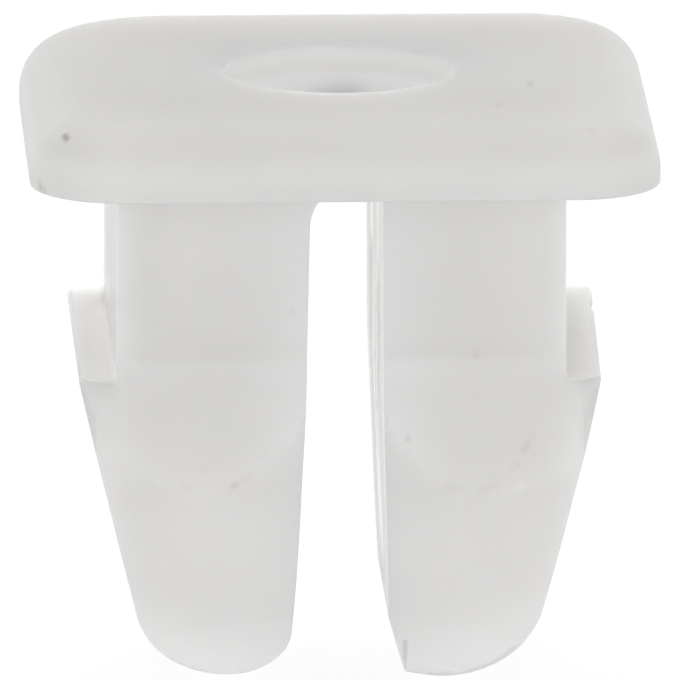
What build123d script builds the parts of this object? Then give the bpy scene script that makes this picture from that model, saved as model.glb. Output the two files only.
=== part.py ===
from build123d import *
from math import tan, radians
import os

# Retainer clip moulded in one piece: a square head, a square neck and two barbed legs.
# Millimetres, +Z up out of the head.
# The origin is on the screw axis in the plane of the head's underside.

# How near counts as touching when edges are picked, and a length past the whole clip
TOUCH = 0.001
BEYOND = 15.0

# Head plate
HEAD_SIDE = 13.95
HEAD_OFFSET_X = -0.05
HEAD_THICKNESS = 1.55
HEAD_FRONT_LEFT = 2.1
HEAD_FRONT_RIGHT = 1.9
HEAD_REAR_LEFT = 3.4
HEAD_REAR_RIGHT = 2.8
HEAD_TOP_ROUND = 1.15
HEAD_UNDERSIDE_ROUND = 0.08

# Neck that fills a 10 mm square panel hole
NECK_WIDTH = 9.95
NECK_DEPTH = 9.7
NECK_HEIGHT = 4.5
NECK_OFFSET_X = -0.12
ROOT_FILLET = 0.22
LEFT_SLOT_ROOT = 1.05

# Legs below the barb's shoulder
LEFT_SHOULDER = 5.83
RIGHT_SHOULDER = 5.91
RIGHT_SIDE_TURN_DEG = 1.4
SHOULDER_FRONT_CORNER = 1.1
LEFT_REAR_CORNER = 0.2
RIGHT_REAR_CORNER = 0.5
LEG_DEPTH = 9.95
STEP_TOP = 3.85
STEP_BOTTOM = 4.13
SIDE_TAPER_DEG = 13.2
TIP_Z = -11.95
SHOULDER_EDGE_ROUND = 0.12
SHOULDER_INNER_FILLET = 0.12

# Half widths of the slot between the legs, at the head, at the bend and at the tips
SLOT_TOP = 0.8
SLOT_BEND_Z = -5.2
LEFT_SLOT_BEND = 0.915
LEFT_SLOT_TIP = 1.19
RIGHT_SLOT_BEND = 0.81
RIGHT_SLOT_TIP = 1.05

# Corners of the two leg ends, which differ a little
LEFT_OUTER_ROUND = 2.2
LEFT_INNER_ROUND = 1.2
RIGHT_OUTER_ROUND = 2.45
RIGHT_INNER_ROUND = 0.1
RIGHT_BEVEL_Z = -10.3
RIGHT_BEVEL_WIDTH = 0.38

# Nose that rounds each leg's front and back, turned about an axis that follows the leg
NOSE_AXIS_X = 3.0
NOSE_AXIS_Z = -7.0
NOSE_TILT_DEG = 7
NOSE_TIP_Z = -12.17
LEFT_NOSE_TIP = 1.0
RIGHT_NOSE_TIP = 1.45
NOSE_CREASE_Z = -7.0
LEFT_NOSE_CREASE = 4.935
RIGHT_NOSE_CREASE = 4.97
NOSE_CONE_STEP = 0.48
NOSE_CONE_Z = -5.6
NOSE_ARC_RADIUS = 6.9
NOSE_TOP_RADIUS = 6.8
NOSE_TOP_Z = -2.0

# Shallow nick worn into the right shoulder's edge, near its rear corner
NICK_Y = 3.0
NICK_LENGTH = 1.5
NICK_DEPTH = 0.15

# Screw hole: straight mouth, 45 degree cone, then a pilot that closes in between the legs
MOUTH_RADIUS = 2.52
MOUTH_DEPTH = 0.65
MOUTH_EDGE_ROUND = 0.1
PILOT_RADIUS = 1.45
PILOT_END_RADIUS = 0.85
PILOT_END_Z = -8.5


def head():
    """Square plate with round corners and a well rounded top edge."""
    plan = Rectangle(HEAD_SIDE, HEAD_SIDE)
    half = HEAD_SIDE / 2
    corners = [
        ((-half, -half), HEAD_FRONT_LEFT),
        ((half, -half), HEAD_FRONT_RIGHT),
        ((-half, half), HEAD_REAR_LEFT),
        ((half, half), HEAD_REAR_RIGHT),
    ]
    plan = round_corners(plan, corners)
    plate = extrude(Pos(HEAD_OFFSET_X, 0) * plan, HEAD_THICKNESS)
    top_edges = plate.edges().group_by(Axis.Z)[-1]
    plate = fillet(top_edges, HEAD_TOP_ROUND)
    underside_edges = plate.edges().group_by(Axis.Z)[0]
    return fillet(underside_edges, HEAD_UNDERSIDE_ROUND)


def round_corners(outline, corners):
    """Round the named corners of a flat outline, each with its own radius."""
    for corner, radius in corners:
        place = Vector(corner[0], corner[1], 0)
        vertex = outline.vertices().sort_by_distance(place)[0]
        outline = fillet(vertex, radius)
    return outline


def left_core(neck_x):
    """Front outline of the left leg's neck and slot wall, as seen in a mirror."""
    inner_tip = (LEFT_SLOT_TIP, TIP_Z)
    wall = [(SLOT_TOP, 0), (LEFT_SLOT_BEND, SLOT_BEND_Z), inner_tip]
    return leg_core(wall, neck_x, LEFT_INNER_ROUND)


def right_core(neck_x):
    """Front outline of the right leg's neck and slot wall, which bends out near the tip."""
    share = (RIGHT_BEVEL_Z - SLOT_BEND_Z) / (TIP_Z - SLOT_BEND_Z)
    bevel_x = RIGHT_SLOT_BEND + share * (RIGHT_SLOT_TIP - RIGHT_SLOT_BEND)
    inner_tip = (RIGHT_SLOT_TIP + RIGHT_BEVEL_WIDTH, TIP_Z)
    wall = [(SLOT_TOP, 0), (RIGHT_SLOT_BEND, SLOT_BEND_Z), (bevel_x, RIGHT_BEVEL_Z), inner_tip]
    return leg_core(wall, neck_x, RIGHT_INNER_ROUND)


def leg_core(wall, neck_x, inner_round):
    """Close a slot wall with the neck's side and the shoulder; the outer side is left wide."""
    shoulder_inner = (neck_x, -NECK_HEIGHT)
    points = wall + [(BEYOND, TIP_Z), (BEYOND, -NECK_HEIGHT), shoulder_inner, (neck_x, 0)]
    outline = make_face(Polyline(points, close=True))
    corners = [(wall[-1], inner_round), (shoulder_inner, SHOULDER_INNER_FILLET)]
    return round_corners(outline, corners)


def leg_side(shoulder_x, outer_round):
    """Outline whose right side is the leg's tapered side, from the shoulder to the tip."""
    tip_x = shoulder_x + (TIP_Z + NECK_HEIGHT) * tan(radians(SIDE_TAPER_DEG))
    shoulder_edge = (shoulder_x, -NECK_HEIGHT)
    outer_tip = (tip_x, TIP_Z)
    above_x = shoulder_x - 2 * SHOULDER_EDGE_ROUND
    points = [(0, 0), (0, TIP_Z), outer_tip, shoulder_edge, (above_x, -NECK_HEIGHT), (above_x, 0)]
    outline = make_face(Polyline(points, close=True))
    return round_corners(outline, [(shoulder_edge, SHOULDER_EDGE_ROUND), (outer_tip, outer_round)])


def shoulder_plan(shoulder_x, rear_corner):
    """Plan of one leg with its two outer corners rounded."""
    half = LEG_DEPTH / 2
    plan = Pos(shoulder_x / 2, 0) * Rectangle(shoulder_x, LEG_DEPTH)
    corners = [
        ((shoulder_x, -half), SHOULDER_FRONT_CORNER),
        ((shoulder_x, half), rear_corner),
    ]
    return round_corners(plan, corners)


def depth_outline():
    """Side outline of the neck and legs, with the small bevelled step on front and back."""
    half_neck = NECK_DEPTH / 2
    half_leg = LEG_DEPTH / 2
    points = [
        (half_neck, 0),
        (half_neck, -STEP_TOP),
        (half_leg, -STEP_BOTTOM),
        (half_leg, TIP_Z),
        (-half_leg, TIP_Z),
        (-half_leg, -STEP_BOTTOM),
        (-half_neck, -STEP_TOP),
        (-half_neck, 0),
    ]
    return make_face(Polyline(points, close=True))


def nose(crease_radius, tip_radius):
    """Solid of revolution that rounds the lower end of one leg."""
    tip_z = NOSE_TIP_Z - NOSE_AXIS_Z
    crease = (crease_radius, NOSE_CREASE_Z - NOSE_AXIS_Z)
    land_edge = (tip_radius, tip_z)
    down = Polyline([
        (0, BEYOND),
        (NOSE_TOP_RADIUS, BEYOND),
        (NOSE_TOP_RADIUS, NOSE_TOP_Z - NOSE_AXIS_Z),
        (crease_radius + NOSE_CONE_STEP, NOSE_CONE_Z - NOSE_AXIS_Z),
        crease,
    ])
    curve = RadiusArc(crease, land_edge, NOSE_ARC_RADIUS)
    close = Polyline([land_edge, (0, tip_z), (0, BEYOND)])
    profile = Plane.XZ * make_face(down + curve + close)
    place = Pos(NOSE_AXIS_X, 0, NOSE_AXIS_Z) * Rot(0, NOSE_TILT_DEG, 0)
    return place * revolve(profile, Axis.Z)


def leg(side):
    """One leg; side is 1 for the right-hand leg and -1 for the left-hand one."""
    offset = side * NECK_OFFSET_X
    neck_x = NECK_WIDTH / 2 + offset
    if side > 0:
        shoulder_x = RIGHT_SHOULDER + offset
        core = right_core(neck_x)
        outer = leg_side(shoulder_x, RIGHT_OUTER_ROUND)
        plan = shoulder_plan(shoulder_x, RIGHT_REAR_CORNER)
        turn = RIGHT_SIDE_TURN_DEG
        nose_body = nose(RIGHT_NOSE_CREASE, RIGHT_NOSE_TIP)
    else:
        shoulder_x = LEFT_SHOULDER + offset
        core = left_core(neck_x)
        outer = leg_side(shoulder_x, LEFT_OUTER_ROUND)
        plan = shoulder_plan(shoulder_x, LEFT_REAR_CORNER)
        turn = 0
        nose_body = nose(LEFT_NOSE_CREASE, LEFT_NOSE_TIP)
    body = extrude(Plane.XZ * core, BEYOND, both=True)
    body &= extrude(Plane.YZ * depth_outline(), BEYOND, both=True)
    side_body = extrude(Plane.XZ * outer, BEYOND, both=True)
    side_body &= extrude(plan, BEYOND, both=True)
    body &= Rot(0, 0, -turn) * side_body
    body &= nose_body
    if side < 0:
        body = mirror(body, about=Plane.YZ)
    return body


def screw_hole():
    """Straight mouth, cone and tapering pilot of the hole for the screw."""
    mouth_z = HEAD_THICKNESS - MOUTH_DEPTH
    cone_z = mouth_z - (MOUTH_RADIUS - PILOT_RADIUS)
    flare_z = HEAD_THICKNESS - MOUTH_EDGE_ROUND
    flare_radius = MOUTH_RADIUS + MOUTH_EDGE_ROUND
    flare_start = (flare_radius, HEAD_THICKNESS)
    flare = RadiusArc(flare_start, (MOUTH_RADIUS, flare_z), -MOUTH_EDGE_ROUND)
    wall = Polyline([
        (MOUTH_RADIUS, flare_z),
        (MOUTH_RADIUS, mouth_z),
        (PILOT_RADIUS, cone_z),
        (PILOT_END_RADIUS, PILOT_END_Z),
        (0, PILOT_END_Z),
        (0, BEYOND),
        (flare_radius, BEYOND),
        (flare_radius, HEAD_THICKNESS),
    ])
    profile = Plane.XZ * make_face(flare + wall)
    return revolve(profile, Axis.Z)


def edge_nick():
    """Upright cylinder whose side cuts the shallow nick into the right shoulder's edge."""
    radius = NICK_LENGTH ** 2 / (8 * NICK_DEPTH) + NICK_DEPTH / 2
    edge_x = RIGHT_SHOULDER + NECK_OFFSET_X + NICK_Y * tan(radians(RIGHT_SIDE_TURN_DEG))
    place = Pos(edge_x + radius - NICK_DEPTH, NICK_Y, -NECK_HEIGHT)
    return place * Cylinder(radius, NECK_HEIGHT / 2)


def clip():
    """The whole clip in one solid."""
    body = head() + leg(1) + leg(-1)
    slot_root = [e for e in body.edges() if is_root_edge(e) and is_left_slot_edge(e)]
    body = fillet(slot_root, LEFT_SLOT_ROOT)
    roots = [e for e in body.edges() if is_root_edge(e)]
    body = fillet(roots, ROOT_FILLET)
    return body - screw_hole() - edge_nick()


def is_root_edge(edge):
    """True for the edges where the neck and the slot meet the head's underside."""
    box = edge.bounding_box()
    flat = abs(box.min.Z) < TOUCH and abs(box.max.Z) < TOUCH
    neck_reach = NECK_WIDTH / 2 + abs(NECK_OFFSET_X) + TOUCH
    inside = max(abs(box.min.X), abs(box.max.X), abs(box.min.Y), abs(box.max.Y)) < neck_reach
    return flat and inside


def is_left_slot_edge(edge):
    """True for the edge at the top of the slot's left wall."""
    box = edge.bounding_box()
    return abs(box.min.X + SLOT_TOP) < TOUCH and abs(box.max.X + SLOT_TOP) < TOUCH


if __name__ == "__main__":
    os.makedirs("parts", exist_ok=True)
    part = clip()
    part.label = "retainer_clip"
    export_step(part, "parts/retainer_clip.step")
    print("volume", round(part.volume, 2), "solids", len(part.solids()))
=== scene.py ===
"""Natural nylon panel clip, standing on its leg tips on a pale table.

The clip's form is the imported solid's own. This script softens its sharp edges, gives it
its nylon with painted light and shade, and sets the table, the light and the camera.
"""

from functools import reduce
from math import cos, pi, radians, sin
from typing import NamedTuple

import bmesh
import bpy
from bpy.props import FloatProperty, FloatVectorProperty, IntProperty, PointerProperty
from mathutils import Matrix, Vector


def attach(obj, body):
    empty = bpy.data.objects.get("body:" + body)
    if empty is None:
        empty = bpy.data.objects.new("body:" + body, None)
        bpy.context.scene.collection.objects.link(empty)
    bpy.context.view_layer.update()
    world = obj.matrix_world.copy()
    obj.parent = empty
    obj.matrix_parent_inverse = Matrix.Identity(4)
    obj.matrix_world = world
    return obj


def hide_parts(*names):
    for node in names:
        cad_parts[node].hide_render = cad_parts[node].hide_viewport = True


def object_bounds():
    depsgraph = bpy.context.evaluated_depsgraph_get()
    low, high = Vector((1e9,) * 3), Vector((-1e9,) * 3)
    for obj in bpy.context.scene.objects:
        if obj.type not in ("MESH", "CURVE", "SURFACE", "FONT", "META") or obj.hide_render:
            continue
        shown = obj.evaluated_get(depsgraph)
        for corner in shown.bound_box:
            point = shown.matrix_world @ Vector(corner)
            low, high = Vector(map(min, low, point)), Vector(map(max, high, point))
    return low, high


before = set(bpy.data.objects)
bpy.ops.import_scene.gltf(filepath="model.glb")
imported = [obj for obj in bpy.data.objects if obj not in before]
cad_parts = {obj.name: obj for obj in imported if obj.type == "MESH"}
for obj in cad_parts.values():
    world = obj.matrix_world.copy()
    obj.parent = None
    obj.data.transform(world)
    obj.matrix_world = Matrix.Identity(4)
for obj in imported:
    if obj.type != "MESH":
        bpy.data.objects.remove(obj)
CAD_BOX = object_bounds()

bl_info = {
    "name": "Panel retainer clip",
    "version": (1, 0, 0),
    "blender": (4, 5, 0),
    "location": "View3D > Sidebar > Clip",
    "description": "Dresses the moulded panel clip and its table for a product picture",
    "category": "Object",
}

MM = 0.001
NODE = "retainer_clip"
TIP_PLANE = CAD_BOX[0].z
WHITE = (1.0, 1.0, 1.0, 1.0)

# Mesh of the moulding: points nearer than the merge gap become one, faces that turn by less
# than the flat angle become one, and the shading breaks at edges that turn by more than the
# crease angle.
MERGE_GAP = 0.002 * MM
FLAT_ANGLE = radians(0.3)
CREASE_ANGLE = radians(44)

# Nylon: how strongly it bends light and shines, and how far red, green and blue travel in
# it as shares of the light depth.
NYLON_IOR = 1.53
NYLON_SHINE = 0.3
COLOR_REACH = (1.0, 0.92, 0.8)

# Faint cloudy patches about 4 mm wide, and how much they darken and lighten the colour.
CLOUD_SCALE = 260.0
CLOUD_DETAIL = 3.0
CLOUD_SPREAD = (0.3, 0.7)
CLOUD_BRIGHTNESS = (0.985, 1.015)

# Fine grain of the surface, about 0.4 mm wide: its bump, and how it thins out the marks.
GRAIN_SCALE = 2600.0
GRAIN_DETAIL = 2.0
GRAIN_STRENGTH = 0.12
GRAIN_HEIGHT = 0.02 * MM
RAGGED_SPREAD = (0.35, 0.65)
RAGGED_STRENGTH = (0.75, 1.0)

# Table: the grey that throws light back at the clip, and the one on which the camera sees
# the clip's shadow.
TABLE_GREY = 0.5
SEEN_TABLE_GREY = 0.2
TABLE_ROUGHNESS = 0.9

# Camera: pixels for each mm at the aim point, and where the photograph's frame of 680
# pixels has the aim point, both fitted to the clip's outline.
PIXELS_PER_MM = 44.8
AIM_POINT = Vector((0.0, 0.0, -5.2)) * MM
AIM_PIXEL = (338.69, 364.61)
FRAME_PIXELS = 680
SENSOR_MM = 36.0

# Nearest and farthest places that the camera sees, in metres.
NEAREST_SEEN = 0.01
FARTHEST_SEEN = 20.0


class Lamp(NamedTuple):
    """A soft square lamp: turn and height in degrees, light level, side in metres."""

    name: str
    turn: float
    height: float
    level: float
    side: float


LAMP_DISTANCE = 1.2
LAMPS = (
    Lamp("left_front_lamp", -35.0, 2.0, 0.482, 0.3),
    Lamp("right_front_lamp", 35.0, 2.0, 0.475, 0.3),
    Lamp("high_rear_lamp", 180.0, 50.0, 0.55, 0.8),
    Lamp("top_lamp", 0.0, 90.0, 0.06, 0.8),
    Lamp("left_rear_lamp", -125.0, 15.0, 0.19, 0.6),
    Lamp("right_rear_lamp", 125.0, 15.0, 0.2, 0.6),
)


class Mark(NamedTuple):
    """A spot, or a line through several points: places and half width in mm, strength."""

    points: tuple
    half_width: float
    strength: float


DARK_MARKS = (
    # Speck and dirty corner at the head's left front
    Mark(((-6.275, -5.81, 1.315), (-6.225, -5.95, 1.26)), 0.14, 0.90),
    Mark(((-6.84, -5.73, 0.20), (-6.76, -5.95, 0.12)), 0.19, 0.40),
    Mark(((-6.82, -5.80, 0.15),), 0.14, 0.85),
    # Faint specks on the head's top
    Mark(((4.18, -2.05, 1.55), (4.18, -1.57, 1.55)), 0.12, 0.30),
    Mark(((3.35, -4.20, 1.55), (3.45, -3.80, 1.55)), 0.14, 0.14),
    Mark(((5.32, -6.28, 1.42),), 0.14, 0.15),
    Mark(((-2.56, 0.35, 1.55), (-2.56, 0.85, 1.55)), 0.12, 0.15),
    # Faint painted shade line along the foot of the head's front
    Mark(((-4.55, -6.97, 0.12), (-4.05, -6.97, 0.16)), 0.12, 0.05),
    Mark(((-3.90, -6.97, 0.14), (-2.90, -6.97, 0.10)), 0.10, 0.04),
    # Specks on the legs' fronts
    Mark(((1.34, -4.98, -5.79),), 0.13, 0.26),
    Mark(((-1.22, -4.85, -2.90),), 0.13, 0.12),
    Mark(((2.84, -4.88, -3.92),), 0.15, 0.12),
    # Rubbed strokes across the left leg
    Mark(((-2.53, -4.96, -6.84), (-2.46, -4.95, -6.80)), 0.13, 0.28),
    Mark(((-2.42, -4.95, -6.78), (-2.24, -4.96, -6.70)), 0.11, 0.12),
    Mark(((-2.20, -4.96, -6.66), (-2.12, -4.97, -6.54)), 0.13, 0.07),
    Mark(((-3.66, -4.97, -6.84), (-3.46, -4.97, -6.90)), 0.15, 0.05),
    Mark(((-3.16, -4.97, -6.48),), 0.14, 0.06),
    Mark(((-2.94, -4.97, -6.87), (-2.80, -4.96, -6.88)), 0.12, 0.04),
    Mark(((-1.86, -4.97, -6.22), (-1.72, -4.97, -5.90)), 0.14, 0.04),
    # Rubbed strokes across the right leg
    Mark(((2.23, -4.91, -6.89), (2.50, -4.95, -6.92)), 0.13, 0.08),
    Mark(((2.60, -4.95, -7.12), (2.74, -4.95, -7.36)), 0.11, 0.05),
    Mark(((2.95, -4.95, -6.98), (3.32, -4.97, -6.86)), 0.13, 0.10),
    Mark(((3.16, -4.97, -6.66), (3.26, -4.97, -6.60)), 0.12, 0.06),
    Mark(((3.66, -4.97, -6.52), (3.80, -4.97, -6.38)), 0.13, 0.08),
    Mark(((3.92, -4.97, -6.06), (3.99, -4.97, -5.97)), 0.14, 0.17),
    Mark(((4.02, -4.97, -5.90), (4.10, -4.97, -5.78)), 0.13, 0.07),
    # Dark line up the right leg's end, and a speck on the left one's
    Mark(((1.37, -2.68, -10.94), (1.39, -2.37, -11.20), (1.40, -1.99, -11.49)), 0.11, 0.45),
    Mark(((1.40, -1.99, -11.49), (1.42, -1.49, -11.82)), 0.09, 0.30),
    Mark(((-3.60, -1.80, -11.58),), 0.14, 0.30),
    # Painted shadow on the left shoulder
    Mark(((-5.60, 2.50, -4.50), (-5.20, 1.50, -4.50)), 0.60, 0.08),
)
LIGHT_MARKS = (
    # Painted highlights among the rubbed strokes of the right leg
    Mark(((2.47, -4.88, -7.15), (2.56, -4.90, -7.22)), 0.19, 0.12),
    Mark(((3.22, -4.95, -7.05),), 0.17, 0.08),
    Mark(((3.50, -4.96, -7.05), (3.58, -4.96, -7.02)), 0.19, 0.14),
    Mark(((3.76, -4.97, -6.95), (3.86, -4.97, -6.90)), 0.18, 0.18),
    Mark(((2.98, -4.97, -6.55), (3.04, -4.97, -6.45)), 0.12, 0.10),
    # The same on the left leg
    Mark(((-3.42, -4.97, -6.62),), 0.16, 0.10),
    Mark(((-2.95, -4.97, -7.02),), 0.15, 0.08),
    # Painted highlight on the rear edge of the left shoulder
    Mark(((-5.90, 4.60, -4.50), (-5.10, 4.60, -4.50)), 0.35, 0.25),
)


class Fade(NamedTuple):
    """A share that changes between two places along one measure of the clip, in mm.

    The measures are side (to the right), across (sideways, either way), back (to the
    rear), height (above the head's underside), depth (to the front or rear) and radius
    (from the screw hole's axis).
    """

    measure: str
    start: float
    end: float
    start_share: float = 0.0
    end_share: float = 1.0
    smooth: bool = True


# Painted light on the leg ends, which grows slowly at first and so has the same fade twice.
TIP_LIGHT_FADES = (
    Fade("height", -8.5, -12.0, smooth=False),
    Fade("height", -8.5, -12.0, smooth=False),
)

# Painted shade on the edges, against the brighter light on them. The fades of one row are
# multiplied, and the rows are added.
EDGE_SHADE_FADES = (
    # All round the head's side
    (Fade("height", 1.5, 1.0, 0.0, 0.36), Fade("height", -0.01, 0.0, smooth=False)),
    # More at the foot of it
    (Fade("height", 0.6, 0.0, 0.0, 0.64), Fade("height", -0.01, 0.0, smooth=False)),
    # The head's left and right ends
    (Fade("across", 5.2, 6.4, 0.0, 0.6), Fade("height", 0.7, 1.2)),
    # The neck's sides, less down the legs
    (
        Fade("across", 3.5, 4.9, 0.0, 0.8),
        Fade("height", -0.01, 0.0, 1.0, 0.0, smooth=False),
        Fade("height", -2.4, -4.0, 1.0, 0.3),
    ),
)

# Painted light on the middle, against its shade, in rows as the edges are.
CORE_LIGHT_FADES = (
    # Middle of the legs, from under the head to above the tips
    (
        Fade("across", 4.5, 3.2, 0.0, 0.3),
        Fade("height", -0.3, -1.5),
        Fade("height", -10.6, -9.6),
    ),
    # Beside the slot, low on the legs
    (
        Fade("across", 3.6, 2.0, 0.0, 0.5),
        Fade("height", -7.0, -8.4),
        Fade("height", -10.6, -9.6),
    ),
    # Head's top, to the left and right of the screw hole
    (
        Fade("across", 2.2, 3.2, 0.0, 0.8),
        Fade("across", 3.8, 5.4, 1.0, 0.0),
        Fade("depth", 1.0, 3.5, 1.0, 0.0),
        Fade("height", 1.3, 1.45, smooth=False),
    ),
)

# Head's top at the screw hole's rim, and a little way out from it.
RIM_FADES = (
    Fade("radius", 2.6, 4.0, 1.0, 0.0, smooth=False),
    Fade("radius", 2.56, 2.62, smooth=False),
    Fade("height", 1.3, 1.4, smooth=False),
)

# Inside of the screw hole, less at its rim.
MOUTH_FADES = (
    Fade("radius", 2.54, 2.60, 1.0, 0.0),
    Fade("height", -3.0, -2.0),
    Fade("height", 1.56, 1.30, 0.3, 1.0, smooth=False),
)

# Cone under the hole's straight mouth, and the pilot that runs on between the legs.
CONE_FADE = Fade("height", 1.2, 0.5)
PILOT_FADES = (
    Fade("radius", 1.48, 1.60, 1.0, 0.0),
    Fade("height", -10.0, -8.0),
)

# Walls of the slot, less towards the tips, and how squarely a wall faces sideways.
SLOT_FADES = (
    Fade("across", 1.3, 1.5, 1.0, 0.0),
    Fade("height", -11.0, -6.0),
)
SLOT_FACING = (0.5, 0.9)

# Corners between the shoulders and the neck, lighter by painted light against their shade.
CORNER_FADES = (
    Fade("across", 5.2, 5.9, 1.0, 0.2),
    Fade("side", -1.0, 1.0, 1.0, 0.45, smooth=False),
    Fade("across", 4.6, 4.7, smooth=False),
    Fade("height", -3.0, -4.4),
    Fade("height", -4.58, -4.53, smooth=False),
    Fade("back", 4.5, 2.0),
    Fade("back", -4.9, -4.3),
)

# The satin of the legs gives way to the matter head between these heights in mm.
HEAD_FOOT = (-0.02, 0.0)

AS_COLOR = {"subtype": "COLOR", "size": 3, "min": 0.0, "max": 1.0}
AS_SHARE = {"subtype": "FACTOR", "min": 0.0, "max": 1.0}
AS_SMALL_LENGTH = {"unit": "LENGTH", "min": 0.0, "soft_max": 0.1, "precision": 5}


class ClipFinish(bpy.types.PropertyGroup):
    """Colour, painted light and shade, and surface of the natural nylon."""

    base_color: FloatVectorProperty(
        name="Nylon colour",
        description="Colour of the clean moulded nylon",
        default=(0.644, 0.642, 0.639),
        **AS_COLOR,
    )
    # Painted light in the middle of the legs and on the head's top beside the screw hole,
    # against their shade.
    core_light_color: FloatVectorProperty(
        name="Middle colour",
        description="Painted light in the middle of the legs and beside the screw hole",
        default=(0.680, 0.678, 0.674),
        **AS_COLOR,
    )
    # Painted shade round the head and at the neck's sides, against the brighter light that they
    # get.
    edge_shade_color: FloatVectorProperty(
        name="Edge shade colour",
        description="Painted shade round the head and at the neck's sides",
        default=(0.580, 0.578, 0.575),
        **AS_COLOR,
    )
    # Painted light inside the screw hole, against its shade.
    hole_light_color: FloatVectorProperty(
        name="Hole colour",
        description="Painted light inside the screw hole",
        default=(0.729, 0.728, 0.728),
        **AS_COLOR,
    )
    # Painted light on the cone and in the pilot's groove between the legs, against their shade.
    pilot_light_color: FloatVectorProperty(
        name="Pilot colour",
        description="Painted light deep in the screw hole and between the legs",
        default=(0.966, 0.966, 0.970),
        **AS_COLOR,
    )
    # Painted light on the slot's walls, against their shade.
    slot_light_color: FloatVectorProperty(
        name="Slot colour",
        description="Painted light on the walls of the slot",
        default=(0.842, 0.842, 0.844),
        **AS_COLOR,
    )
    # Painted light in the corners above the shoulders, against their shade.
    corner_light_color: FloatVectorProperty(
        name="Corner colour",
        description="Painted light in the corners above the shoulders",
        default=(0.719, 0.718, 0.716),
        **AS_COLOR,
    )
    # Painted light on the leg ends, lighter towards the bottom.
    tip_light_color: FloatVectorProperty(
        name="Tip colour",
        description="Painted light on the thin leg ends",
        default=(0.877, 0.877, 0.878),
        **AS_COLOR,
    )
    # Specks and rubbed strokes, and also the painted shade line at the foot of the head's front
    # and the painted shadow on the left shoulder.
    dirt_and_shade_color: FloatVectorProperty(
        name="Dirt and shade colour",
        description="Colour of specks, rubbed strokes and painted shade",
        default=(0.30, 0.28, 0.25),
        **AS_COLOR,
    )
    # Painted highlights on the legs' arcs and on the left shoulder's rear edge.
    highlight_color: FloatVectorProperty(
        name="Highlight colour",
        description="Colour of painted highlights",
        default=(0.82, 0.815, 0.80),
        **AS_COLOR,
    )
    leg_roughness: FloatProperty(
        name="Leg roughness",
        description="Roughness of the satin neck and legs",
        default=0.26,
        **AS_SHARE,
    )
    head_roughness: FloatProperty(
        name="Head roughness",
        description="Roughness of the matter head",
        default=0.55,
        **AS_SHARE,
    )
    translucency: FloatProperty(
        name="Light depth",
        description="How deep light travels in the nylon",
        default=5.0 * MM,
        **AS_SMALL_LENGTH,
    )
    rim_depth: FloatProperty(
        name="Light depth at the rim",
        description="How deep light travels in the head's top at the screw hole's rim",
        default=1.2 * MM,
        **AS_SMALL_LENGTH,
    )
    mouth_depth: FloatProperty(
        name="Light depth in the hole",
        description="How deep light travels in the wall round the screw hole's mouth",
        default=16.0 * MM,
        **AS_SMALL_LENGTH,
    )
    pilot_depth: FloatProperty(
        name="Light depth in the pilot",
        description="How deep light travels in the cone and in the thin legs round the pilot",
        default=80.0 * MM,
        **AS_SMALL_LENGTH,
    )
    corner_depth: FloatProperty(
        name="Light depth in corners",
        description="How deep light travels in the corners above the shoulders",
        default=11.0 * MM,
        **AS_SMALL_LENGTH,
    )


class ClipEdges(bpy.types.PropertyGroup):
    """Softening of the edges that the mould leaves sharp."""

    edge_round: FloatProperty(
        name="Edge softening",
        description="Width of the tiny bevel on sharp edges",
        default=0.05 * MM,
        **AS_SMALL_LENGTH,
    )
    edge_segments: IntProperty(
        name="Edge segments",
        description="Number of faces across each softened edge",
        default=3,
        min=1,
        max=6,
    )
    sharp_angle: FloatProperty(
        name="Sharp edge angle",
        description="Edges that turn by more than this are softened",
        default=radians(50),
        min=0.0,
        max=pi,
        subtype="ANGLE",
    )


class ClipStage(bpy.types.PropertyGroup):
    """Table, light and camera."""

    floor_size: FloatProperty(
        name="Table size",
        description="Side of the square table top",
        default=3.0,
        min=0.1,
        unit="LENGTH",
    )
    sky_strength: FloatProperty(
        name="Surrounding light",
        description="Strength of the even white light all round",
        default=0.267,
        min=0.0,
    )
    table_glow: FloatProperty(
        name="Table glow",
        description="Even light that the white table gives off by itself",
        default=0.333,
        min=0.0,
    )
    table_white: FloatProperty(
        name="Table brightness",
        description="How bright the table looks by itself, beside the light that falls on it",
        default=0.86,
        min=0.0,
    )
    azimuth: FloatProperty(
        name="Camera turn",
        description="Direction of the camera round the clip",
        default=radians(-2.225),
        subtype="ANGLE",
    )
    elevation: FloatProperty(
        name="Camera height",
        description="Angle of the camera above the horizon",
        default=radians(12.4625),
        subtype="ANGLE",
    )
    distance: FloatProperty(
        name="Camera distance",
        description="From the lens to the middle of the clip",
        default=0.625,
        min=0.05,
        unit="LENGTH",
    )


def add_object(name, data):
    """A new object in the scene that shows the given data."""
    thing = bpy.data.objects.new(name, data)
    bpy.context.scene.collection.objects.link(thing)
    return thing


def new_material(name):
    """A material with nodes, and its main shader."""
    material = bpy.data.materials.new(name)
    material.use_nodes = True
    return material, material.node_tree.nodes["Principled BSDF"]


def add_node(tree, kind, **values):
    """A shader node with its plain properties set."""
    node = tree.nodes.new(kind)
    for key, value in values.items():
        setattr(node, key, value)
    return node


def set_inputs(node, values):
    """Constant values on a node's own sockets."""
    for name, value in values.items():
        node.inputs[name].default_value = value


def noise(tree, place, scale, detail):
    """Fine random pattern that follows the object's own coordinates."""
    node = add_node(tree, "ShaderNodeTexNoise")
    set_inputs(node, {"Scale": scale, "Detail": detail})
    tree.links.new(place, node.inputs["Vector"])
    return node.outputs["Fac"]


def ramp_range(tree, value, low, high, out_low, out_high, smooth=False):
    """Spread a value between two limits; beyond them it stays the same."""
    course = "SMOOTHSTEP" if smooth else "LINEAR"
    node = add_node(tree, "ShaderNodeMapRange", interpolation_type=course)
    limits = {"From Min": low, "From Max": high, "To Min": out_low, "To Max": out_high}
    set_inputs(node, limits)
    tree.links.new(value, node.inputs["Value"])
    return node.outputs["Result"]


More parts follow.
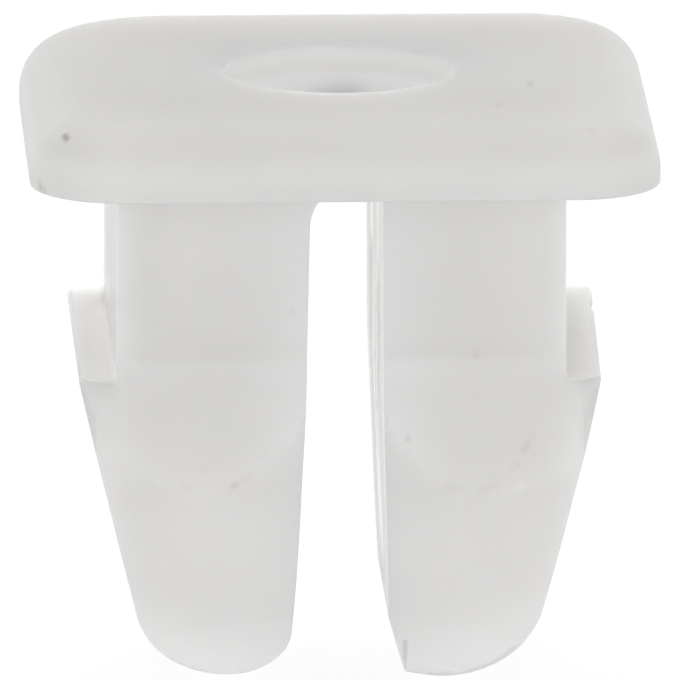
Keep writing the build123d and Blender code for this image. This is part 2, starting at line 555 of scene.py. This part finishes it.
def vector_math(tree, operation, first, second=None):
    """One vector operation; each side is a socket or a constant."""
    node = add_node(tree, "ShaderNodeVectorMath", operation=operation)
    for index, side in enumerate((first, second)):
        if isinstance(side, bpy.types.NodeSocket):
            tree.links.new(side, node.inputs[index])
        elif side is not None:
            node.inputs[index].default_value = tuple(side)
    return node


def number_math(tree, operation, first, second=None):
    """One number operation; each side is a socket or a constant."""
    node = add_node(tree, "ShaderNodeMath", operation=operation)
    for index, side in enumerate((first, second)):
        if isinstance(side, bpy.types.NodeSocket):
            tree.links.new(side, node.inputs[index])
        elif side is not None:
            node.inputs[index].default_value = side
    return node.outputs[0]


def chain(tree, operation, values):
    """Numbers joined one after the other by the same operation."""
    return reduce(lambda joined, value: number_math(tree, operation, joined, value), values)


def mix_color(tree, first, second, factor):
    """Blend two colours; each is a socket or a constant."""
    node = add_node(tree, "ShaderNodeMix", data_type="RGBA")
    for name, side in (("A", first), ("B", second)):
        socket = [i for i in node.inputs if i.name == name and i.type == "RGBA"][0]
        if isinstance(side, bpy.types.NodeSocket):
            tree.links.new(side, socket)
        else:
            socket.default_value = (*side, 1.0)
    tree.links.new(factor, node.inputs[0])
    return [o for o in node.outputs if o.type == "RGBA"][0]


def components(tree, vector):
    """The three components of a vector."""
    split = add_node(tree, "ShaderNodeSeparateXYZ")
    tree.links.new(vector, split.inputs["Vector"])
    return [split.outputs[axis] for axis in "XYZ"]


def clip_measures(tree, place):
    """What the fades run along, read from the clip's own coordinates."""
    side, back, height = components(tree, place)
    flat = vector_math(tree, "MULTIPLY", place, (1.0, 1.0, 0.0)).outputs["Vector"]
    return {
        "side": side,
        "across": number_math(tree, "ABSOLUTE", side),
        "back": back,
        "depth": number_math(tree, "ABSOLUTE", back),
        "height": height,
        "radius": vector_math(tree, "LENGTH", flat).outputs["Value"],
    }


def fade_share(tree, measures, fade):
    """The share that one fade gives."""
    return ramp_range(
        tree,
        measures[fade.measure],
        fade.start * MM,
        fade.end * MM,
        fade.start_share,
        fade.end_share,
        fade.smooth,
    )


def product(tree, measures, fades):
    """Fades multiplied, so that each one limits the others."""
    return chain(tree, "MULTIPLY", (fade_share(tree, measures, fade) for fade in fades))


def product_sum(tree, measures, rows):
    """Rows of multiplied fades, added up."""
    return chain(tree, "ADD", (product(tree, measures, fades) for fades in rows))


def hole_shares(tree, measures):
    """Shares of the screw hole and of its deep part, which runs down between the legs."""
    mouth = product(tree, measures, MOUTH_FADES)
    cone = number_math(tree, "MULTIPLY", mouth, fade_share(tree, measures, CONE_FADE))
    pilot = product(tree, measures, PILOT_FADES)
    return mouth, number_math(tree, "MAXIMUM", pilot, cone)


def slot_share(tree, measures, normal):
    """Share of the slot's walls, less towards the tips."""
    sideways = number_math(tree, "ABSOLUTE", components(tree, normal)[0])
    facing = ramp_range(tree, sideways, *SLOT_FACING, 0.0, 1.0, smooth=True)
    return number_math(tree, "MULTIPLY", product(tree, measures, SLOT_FADES), facing)


def point_gap(tree, place, point):
    """Distance from a point in mm."""
    return vector_math(tree, "DISTANCE", place, Vector(point) * MM).outputs["Value"]


def line_gap(tree, place, start, end):
    """Distance from a straight line between two points in mm."""
    start = Vector(start) * MM
    along = Vector(end) * MM - start
    length = along.length
    along.normalize()
    offset = vector_math(tree, "SUBTRACT", place, start).outputs["Vector"]
    reach = vector_math(tree, "DOT_PRODUCT", offset, along).outputs["Value"]
    reach = number_math(tree, "MINIMUM", number_math(tree, "MAXIMUM", reach, 0.0), length)
    foot = vector_math(tree, "SCALE", along)
    tree.links.new(reach, foot.inputs["Scale"])
    return vector_math(tree, "DISTANCE", offset, foot.outputs["Vector"]).outputs["Value"]


def mark_share(tree, place, mark):
    """One mark, strongest along its middle and faded out at its half width."""
    if len(mark.points) == 1:
        gap = point_gap(tree, place, mark.points[0])
    else:
        stretches = zip(mark.points, mark.points[1:])
        gap = chain(tree, "MINIMUM", (line_gap(tree, place, *ends) for ends in stretches))
    return ramp_range(tree, gap, 0.0, mark.half_width * MM, mark.strength, 0.0, smooth=True)


def mottled(tree, place, color):
    """A colour with faint cloudy patches."""
    cloud = noise(tree, place, CLOUD_SCALE, CLOUD_DETAIL)
    cloudy = add_node(tree, "ShaderNodeHueSaturation")
    tree.links.new(color, cloudy.inputs["Color"])
    brightness = ramp_range(tree, cloud, *CLOUD_SPREAD, *CLOUD_BRIGHTNESS)
    tree.links.new(brightness, cloudy.inputs["Value"])
    return cloudy.outputs["Color"]


def marked(tree, place, color, grain, finish):
    """A colour with specks, rubbed strokes, painted highlights and painted shade, which the
    grain makes ragged.
    """
    ragged = ramp_range(tree, grain, *RAGGED_SPREAD, *RAGGED_STRENGTH)
    # Painted highlights first, then specks, rubbed strokes and painted shade marks.
    for marks, mark_color in (
        (LIGHT_MARKS, finish.highlight_color),
        (DARK_MARKS, finish.dirt_and_shade_color),
    ):
        shares = chain(tree, "MAXIMUM", (mark_share(tree, place, mark) for mark in marks))
        color = mix_color(tree, color, mark_color, number_math(tree, "MULTIPLY", shares, ragged))
    return color


def grain_bump(tree, grain):
    """Fine unevenness of the surface, for the shader's normal."""
    bump = add_node(tree, "ShaderNodeBump")
    set_inputs(bump, {"Strength": GRAIN_STRENGTH, "Distance": GRAIN_HEIGHT})
    tree.links.new(grain, bump.inputs["Height"])
    return bump.outputs["Normal"]


def light_depth(tree, finish, at_rim, deeper_places):
    """How deep light travels: less at the screw hole's rim, more in the places given."""
    depth = ramp_range(tree, at_rim, 0.0, 1.0, finish.translucency, finish.rim_depth)
    for share, reach in deeper_places:
        deeper = ramp_range(tree, share, 0.0, 1.0, 0.0, reach)
        depth = number_math(tree, "MAXIMUM", depth, deeper)
    return depth


def nylon(finish):
    """Natural white nylon: slightly translucent satin with faint mottling, specks and rubs, and
    painted light and shade.
    """
    material, shader = new_material("nylon")
    tree = material.node_tree
    coordinates = add_node(tree, "ShaderNodeTexCoord")
    place = coordinates.outputs["Object"]
    measures = clip_measures(tree, place)
    in_mouth, in_pilot = hole_shares(tree, measures)
    in_corner = product(tree, measures, CORNER_FADES)
    grain = noise(tree, place, GRAIN_SCALE, GRAIN_DETAIL)

    color = finish.base_color
    # Painted light on the tips, hollows, slot, corners and middle, and painted shade on the
    # edges, over the base colour.
    for tone, share in (
        (finish.tip_light_color, product(tree, measures, TIP_LIGHT_FADES)),
        (finish.edge_shade_color, product_sum(tree, measures, EDGE_SHADE_FADES)),
        (finish.core_light_color, product_sum(tree, measures, CORE_LIGHT_FADES)),
        (finish.slot_light_color, slot_share(tree, measures, coordinates.outputs["Normal"])),
        (finish.hole_light_color, in_mouth),
        (finish.pilot_light_color, in_pilot),
        (finish.corner_light_color, in_corner),
    ):
        color = mix_color(tree, color, tone, share)
    color = marked(tree, place, mottled(tree, place, color), grain, finish)

    roughness = Fade(
        "height", *HEAD_FOOT, finish.leg_roughness, finish.head_roughness, smooth=False
    )
    deeper_places = (
        (in_mouth, finish.mouth_depth),
        (in_pilot, finish.pilot_depth),
        (in_corner, finish.corner_depth),
    )
    at_rim = product(tree, measures, RIM_FADES)
    for name, value in (
        ("Base Color", color),
        ("Normal", grain_bump(tree, grain)),
        ("Roughness", fade_share(tree, measures, roughness)),
        ("Subsurface Scale", light_depth(tree, finish, at_rim, deeper_places)),
    ):
        tree.links.new(value, shader.inputs[name])
    set_inputs(
        shader,
        {
            "IOR": NYLON_IOR,
            "Specular IOR Level": NYLON_SHINE,
            "Subsurface Weight": 1.0,
            "Subsurface Radius": COLOR_REACH,
        },
    )
    return material


def moulding(edges):
    """The clip itself: the solid's own surface with its sharp edges softened."""
    mesh = bpy.data.meshes.new("clip_moulding")
    work = bmesh.new()
    work.from_mesh(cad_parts[NODE].data)
    bmesh.ops.remove_doubles(work, verts=work.verts, dist=MERGE_GAP)
    bmesh.ops.dissolve_limit(work, angle_limit=FLAT_ANGLE, verts=work.verts, edges=work.edges)
    sharp = [e for e in work.edges if e.is_manifold and e.calc_face_angle() > edges.sharp_angle]
    bmesh.ops.bevel(
        work,
        geom=sharp,
        affect="EDGES",
        offset=edges.edge_round,
        offset_type="OFFSET",
        segments=edges.edge_segments,
        profile=0.5,
        material=-1,
        clamp_overlap=True,
    )
    bmesh.ops.recalc_face_normals(work, faces=work.faces)
    work.to_mesh(mesh)
    work.free()
    piece = add_object("clip_moulding", mesh)
    mesh.shade_smooth()
    mesh.set_sharp_from_angle(angle=CREASE_ANGLE)
    flats = piece.modifiers.new("flat_faces", "WEIGHTED_NORMAL")
    flats.mode = "FACE_AREA"
    flats.keep_sharp = True
    return piece


def show_apart(tree, lighting, seen, output):
    """One shader lights things; the camera, a mirror and a clear body see another."""
    path = add_node(tree, "ShaderNodeLightPath")
    rays = ("Is Camera Ray", "Is Glossy Ray", "Is Transmission Ray")
    seen_directly = chain(tree, "MAXIMUM", (path.outputs[ray] for ray in rays))
    blend = add_node(tree, "ShaderNodeMixShader")
    tree.links.new(seen_directly, blend.inputs["Fac"])
    tree.links.new(lighting, blend.inputs[1])
    tree.links.new(seen, blend.inputs[2])
    tree.links.new(blend.outputs["Shader"], output.inputs["Surface"])


def white_table(stage):
    """Plain white table that keeps the clip's shadow."""
    material, shader = new_material("white_table")
    tree = material.node_tree
    seen = add_node(tree, "ShaderNodeBsdfPrincipled")
    for part, grey, glow in (
        (shader, TABLE_GREY, stage.table_glow),
        (seen, SEEN_TABLE_GREY, stage.table_white),
    ):
        dull_and_glowing = {
            "Base Color": (grey, grey, grey, 1.0),
            "Emission Color": WHITE,
            "Emission Strength": glow,
            "Roughness": TABLE_ROUGHNESS,
            "Specular IOR Level": 0.0,
        }
        set_inputs(part, dull_and_glowing)
    output = tree.nodes["Material Output"]
    show_apart(tree, shader.outputs["BSDF"], seen.outputs["BSDF"], output)
    return material


def floor(stage):
    """Flat table top under the clip's tips."""
    mesh = bpy.data.meshes.new("floor")
    work = bmesh.new()
    bmesh.ops.create_grid(work, x_segments=1, y_segments=1, size=stage.floor_size / 2)
    bmesh.ops.translate(work, verts=work.verts, vec=(0.0, 0.0, TIP_PLANE))
    work.to_mesh(mesh)
    work.free()
    mesh.materials.append(white_table(stage))
    return add_object("floor", mesh)


def surroundings(stage):
    """Even white light all round, seen as plain white by the camera."""
    world = bpy.data.worlds.new("white_room")
    bpy.context.scene.world = world
    world.use_nodes = True
    tree = world.node_tree
    lighting = tree.nodes["Background"]
    set_inputs(lighting, {"Color": WHITE, "Strength": stage.sky_strength})
    seen = add_node(tree, "ShaderNodeBackground")
    set_inputs(seen, {"Color": WHITE, "Strength": 1.0})
    output = tree.nodes["World Output"]
    show_apart(tree, lighting.outputs["Background"], seen.outputs["Background"], output)


def direction(turn, height):
    """From the clip outwards, turned to the right from the front and raised."""
    return Vector((sin(turn) * cos(height), -cos(turn) * cos(height), sin(height)))


def soft_lamp(lamp):
    """Square soft lamp that lights a face turned to it at the lamp's level."""
    outwards = direction(radians(lamp.turn), radians(lamp.height))
    data = bpy.data.lights.new(lamp.name, "AREA")
    data.shape = "SQUARE"
    data.size = lamp.side
    data.energy = lamp.level * (pi * LAMP_DISTANCE) ** 2
    fitting = add_object(lamp.name, data)
    fitting.location = outwards * LAMP_DISTANCE
    fitting.rotation_mode = "QUATERNION"
    fitting.rotation_quaternion = outwards.to_track_quat("Z", "Y")
    fitting.visible_camera = False
    fitting.visible_glossy = False


def camera(stage):
    """Camera at the photograph's angle, distance and framing."""
    right = Vector((cos(stage.azimuth), sin(stage.azimuth), 0.0))
    back = direction(stage.azimuth, stage.elevation)
    up = back.cross(right)
    middle = FRAME_PIXELS / 2
    centre = AIM_POINT + right * ((middle - AIM_PIXEL[0]) / PIXELS_PER_MM * MM)
    centre += up * ((AIM_PIXEL[1] - middle) / PIXELS_PER_MM * MM)
    data = bpy.data.cameras.new("camera")
    data.sensor_width = SENSOR_MM
    data.lens = PIXELS_PER_MM * (stage.distance / MM) / FRAME_PIXELS * SENSOR_MM
    data.clip_start = NEAREST_SEEN
    data.clip_end = FARTHEST_SEEN
    eye = add_object("camera", data)
    eye.location = centre + back * stage.distance
    eye.rotation_mode = "QUATERNION"
    eye.rotation_quaternion = (-back).to_track_quat("-Z", "Y")
    bpy.context.scene.camera = eye


class CLIP_OT_moulding(bpy.types.Operator):
    """Make the moulded clip with softened edges and its nylon finish"""

    bl_idname = "clip.moulding"
    bl_label = "Moulded clip"

    def execute(self, context):
        scene = context.scene
        piece = moulding(scene.clip_edges)
        piece.data.materials.append(nylon(scene.clip_finish))
        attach(piece, "root")
        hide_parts(NODE)
        return {"FINISHED"}


class CLIP_OT_stage(bpy.types.Operator):
    """Set the table, the even white light and the camera"""

    bl_idname = "clip.stage"
    bl_label = "Table, light and camera"

    def execute(self, context):
        scene = context.scene
        floor(scene.clip_stage)
        surroundings(scene.clip_stage)
        for lamp in LAMPS:
            soft_lamp(lamp)
        camera(scene.clip_stage)
        scene.view_settings.view_transform = "Standard"
        return {"FINISHED"}


class CLIP_PT_sidebar(bpy.types.Panel):
    """Sizes, colours and steps of the clip"""

    bl_label = "Panel retainer clip"
    bl_idname = "CLIP_PT_sidebar"
    bl_space_type = "VIEW_3D"
    bl_region_type = "UI"
    bl_category = "Clip"

    def draw(self, context):
        layout = self.layout
        groups = (
            (context.scene.clip_finish, CLIP_OT_moulding.bl_idname),
            (context.scene.clip_edges, None),
            (context.scene.clip_stage, CLIP_OT_stage.bl_idname),
        )
        for group, operator in groups:
            box = layout.box()
            for name in group.__annotations__:
                box.prop(group, name)
            if operator:
                box.operator(operator)


CLASSES = (
    ClipFinish,
    ClipEdges,
    ClipStage,
    CLIP_OT_moulding,
    CLIP_OT_stage,
    CLIP_PT_sidebar,
)


def register():
    """Add the classes and the scene's settings."""
    for item in CLASSES:
        bpy.utils.register_class(item)
    bpy.types.Scene.clip_finish = PointerProperty(type=ClipFinish)
    bpy.types.Scene.clip_edges = PointerProperty(type=ClipEdges)
    bpy.types.Scene.clip_stage = PointerProperty(type=ClipStage)


def unregister():
    """Take the settings and classes away again."""
    del bpy.types.Scene.clip_stage
    del bpy.types.Scene.clip_edges
    del bpy.types.Scene.clip_finish
    for item in reversed(CLASSES):
        bpy.utils.unregister_class(item)


def main():
    """Build the picture."""
    register()
    bpy.ops.clip.moulding()
    bpy.ops.clip.stage()


if __name__ == "__main__":
    main()
